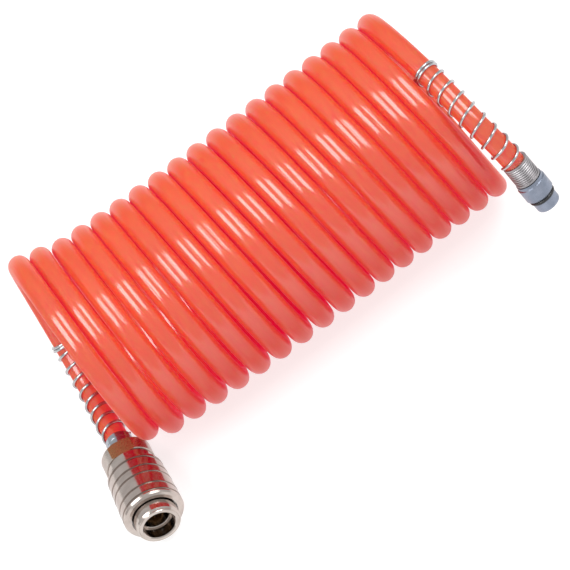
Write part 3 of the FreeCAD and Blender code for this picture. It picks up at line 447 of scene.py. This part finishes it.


# Each metal: its colours and gloss where worn dark and light. What is turned on a lathe also has its fitting,
# how many turning lines it has and how deep they are, and its grooves, darkened with grime and painted shade.
sleeveGrooves = {  # rear and front edge from the coupler's nose, places as shares between them
    "rear": -0.0274, "front": -0.0054, "places": (0.07, 0.28, 0.455, 0.72, 0.89), "width": 0.014,
    "shadeAndGrime": (0.32, 0.26, 0.23),
}
# the ring at place 0 is a painted shadow at the ferrule's mouth, where the hose goes in
ferruleGrooves = {
    "rear": -0.02214, "front": -0.01344, "places": [number / 10 for number in range(10)], "width": 0.03,
    "shadeAndGrime": (0.32, 0.3, 0.31),
}
metals = {
    "zinc_wire": {"dark": (0.42, 0.42, 0.43), "light": (0.56, 0.56, 0.57), "rough": (0.14, 0.24)},
    "zinc_crimp": {"dark": (0.32, 0.35, 0.39), "light": (0.45, 0.48, 0.52), "rough": (0.14, 0.22),
                   "fitting": coupler, "lines": 3500},
    "zinc_ferrule": {"dark": (0.35, 0.335, 0.345), "light": (0.44, 0.425, 0.435), "rough": (0.36, 0.46),
                     "fitting": nipple, "lines": 3500, "grooves": ferruleGrooves},
    "blue_zinc": {"dark": (0.2, 0.23, 0.29), "light": (0.31, 0.34, 0.42), "rough": (0.24, 0.4),
                  "fitting": nipple, "lines": 2500, "depth": 0.15},
    "nickel_plate": {"dark": (0.46, 0.395, 0.36), "light": (0.58, 0.51, 0.47), "rough": (0.12, 0.24),
                     "fitting": coupler, "grooves": sleeveGrooves},
    "nickel_body": {"dark": (0.48, 0.42, 0.38), "light": (0.58, 0.52, 0.48), "rough": (0.1, 0.2),
                    "fitting": coupler},
    "brass_valve": {"dark": (0.5, 0.36, 0.2), "light": (0.62, 0.46, 0.28), "rough": (0.2, 0.34),
                    "fitting": coupler},
    "ball_steel": {"dark": (0.7, 0.7, 0.72), "light": (0.8, 0.8, 0.82), "rough": (0.08, 0.12)},
}
surface = {"speckDepth": 0.00005, "lineDepth": 0.00004, "lineStretch": (1, 60, 60), "metalSpecks": 0.08}


def metalMaterial(name, dark, light, rough, fitting=None, lines=3000, depth=0.25, grooves=None):
    material, tree, shader = newMaterial(name)
    shader.inputs["Metallic"].default_value = 1
    patch, speck = addWear(tree, "metal")
    color = wornColor(tree, patch, dark, light)
    if grooves is not None:
        color = shadeAndGrimeInGrooves(tree, color, fitting, grooves)
    tree.links.new(color, shader.inputs["Base Color"])
    wornGloss(tree, speck, rough, shader)
    if fitting is None:
        addBump(tree, speck, surface["metalSpecks"], surface["speckDepth"], shader)
    else:
        turning = addNoise(tree, fittingVector(tree, fitting, surface["lineStretch"]), lines)
        addBump(tree, turning, depth, surface["lineDepth"], shader)
    return material


collarLook = {  # plated round the rim; the brown tone on the two flats is a painted reflection
    "plateDark": (0.46, 0.4, 0.36), "plateLight": (0.56, 0.5, 0.46),
    "flatReflectionDark": (0.36, 0.22, 0.1), "flatReflectionLight": (0.46, 0.28, 0.14),
    "flatHeight": 0.00815, "rough": (0.22, 0.36), "specks": 0.1,
}


def collarMaterial(fitting):
    material, tree, shader = newMaterial("plated_brass")
    shader.inputs["Metallic"].default_value = 1
    patch, speck = addWear(tree, "metal")
    plate = wornColor(tree, patch, collarLook["plateDark"], collarLook["plateLight"])
    # Painted reflection: the brown that the two flats mirror is put into their colour
    flatReflection = wornColor(tree, patch, collarLook["flatReflectionDark"], collarLook["flatReflectionLight"])
    height = tree.nodes.new("ShaderNodeMath")
    height.operation = "ABSOLUTE"
    tree.links.new(fittingAxes(tree, fitting)["Z"], height.inputs[0])
    onFlat = tree.nodes.new("ShaderNodeMath")
    onFlat.operation = "GREATER_THAN"
    onFlat.inputs[1].default_value = collarLook["flatHeight"]
    tree.links.new(height.outputs["Value"], onFlat.inputs[0])
    tree.links.new(mixColors(tree, "MIX", onFlat.outputs["Value"], plate, flatReflection), shader.inputs["Base Color"])
    wornGloss(tree, speck, collarLook["rough"], shader)
    addBump(tree, speck, collarLook["specks"], surface["speckDepth"], shader)
    return material


rubberLook = {"dark": (0.012, 0.012, 0.014), "light": (0.03, 0.03, 0.032), "rough": (0.3, 0.45), "specks": 0.1}


def rubberMaterial():
    material, tree, shader = newMaterial("black_nitrile")
    patch, speck = addWear(tree, "rubber")
    tree.links.new(wornColor(tree, patch, rubberLook["dark"], rubberLook["light"]), shader.inputs["Base Color"])
    wornGloss(tree, speck, rubberLook["rough"], shader)
    addBump(tree, speck, rubberLook["specks"], surface["speckDepth"], shader)
    return material


finishes = {name: metalMaterial(name, **look) for name, look in metals.items()}
finishes["plated_brass"] = collarMaterial(coupler)
finishes["black_nitrile"] = rubberMaterial()
hosePiece.data.materials.append(hoseMaterial())
for piece in (couplerSpring, nippleSpring, *pressed.values()):
    piece.data.materials.append(finishes["zinc_wire"])

nodeFinishes = {
    "coupler_ferrule": "zinc_crimp", "wrench_adapter": "plated_brass", "spigot_seal": "black_nitrile",
    "coupler_body": "nickel_body", "release_sleeve": "nickel_plate", "sleeve_snap_ring": "zinc_wire",
    "plug_seal": "black_nitrile", "valve_poppet": "brass_valve", "valve_seal": "black_nitrile",
    "nipple_ferrule": "zinc_ferrule", "nipple_stem": "zinc_ferrule", "swivel_seal": "black_nitrile",
    "nipple_body": "blue_zinc", "swivel_snap_ring": "zinc_wire", "nose_ring": "black_nitrile",
    **{f"locking_ball_{number}": "ball_steel" for number in (1, 2, 3, 4)},
}
for name, finish in nodeFinishes.items():
    for slot in nodes[name].material_slots:
        slot.material = finishes[finish]
print("materials made")

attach(hosePiece, "hose")
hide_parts("coil_tube", "coupler_tail_tube", "nipple_tail_tube")
wires = {"coupler_guard_spring": couplerSpring, "nipple_guard_spring": nippleSpring, **pressed}
for node, piece in wires.items():
    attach(piece, "hose")
    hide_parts(node)
for name, spring in pressedSprings.items():
    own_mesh(pressed[name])

studio = {
    "floorSize": 8, "floorAlbedo": 0.4, "floorRough": 0.9, "floorGlow": 0.76, "world": 0.34, "worldSeen": 0.7,
    "middle": (0, 0, 0.04), "reach": 1.5,
    "boxes": {  # direction from the coil's middle, width along the coil and length across it, power
        "left": ((-0.62, -0.14, 0.76), (0.8, 0.9), 12.5),
        "right": ((0.48, -0.17, 0.86), (0.8, 0.9), 12.5),
    },
}


def seenDirectly(tree):
    rays = tree.nodes.new("ShaderNodeLightPath")  # by the camera, in metal and through clear pieces
    seen = rays.outputs["Is Camera Ray"]
    for name in ("Is Glossy Ray", "Is Transmission Ray"):
        either = tree.nodes.new("ShaderNodeMath")
        either.operation = "MAXIMUM"
        tree.links.new(seen, either.inputs[0])
        tree.links.new(rays.outputs[name], either.inputs[1])
        seen = either.outputs["Value"]
    return seen


def makeFloor():
    bpy.ops.mesh.primitive_plane_add(size=studio["floorSize"])
    floor = bpy.context.active_object
    floor.name = "floor"
    material, tree, shader = newMaterial("white_floor")
    setInputs(shader, {"Base Color": (*[studio["floorAlbedo"]] * 3, 1), "Roughness": studio["floorRough"],
                       "Emission Color": (1, 1, 1, 1)})
    glow = addRange(tree, seenDirectly(tree), (0, 1), (0, studio["floorGlow"]))
    tree.links.new(glow, shader.inputs["Emission Strength"])
    floor.data.materials.append(material)


def softBox(name, direction, size, power):
    data = bpy.data.lights.new(name, "AREA")
    data.shape = "RECTANGLE"
    data.size, data.size_y = size
    data.energy = power
    lamp = bpy.data.objects.new(name, data)
    bpy.context.collection.objects.link(lamp)
    toLamp = Vector(direction).normalized()
    along = (Vector((1, 0, 0)) - toLamp * toLamp.x).normalized()
    lamp.location = Vector(studio["middle"]) + toLamp * studio["reach"]
    lamp.rotation_euler = turnTo(along, toLamp.cross(along), toLamp).to_euler()


def makeWorld():
    world = bpy.data.worlds.new("studio")
    bpy.context.scene.world = world
    world.use_nodes = True
    tree = world.node_tree
    background = tree.nodes["Background"]
    background.inputs["Color"].default_value = (1, 1, 1, 1)
    strength = addRange(tree, seenDirectly(tree), (0, 1), (studio["world"], studio["worldSeen"]))
    tree.links.new(strength, background.inputs["Strength"])


makeFloor()
for name, (direction, size, power) in studio["boxes"].items():
    softBox(name, direction, size, power)
makeWorld()
bpy.context.scene.view_settings.view_transform = "Standard"
print("studio set")
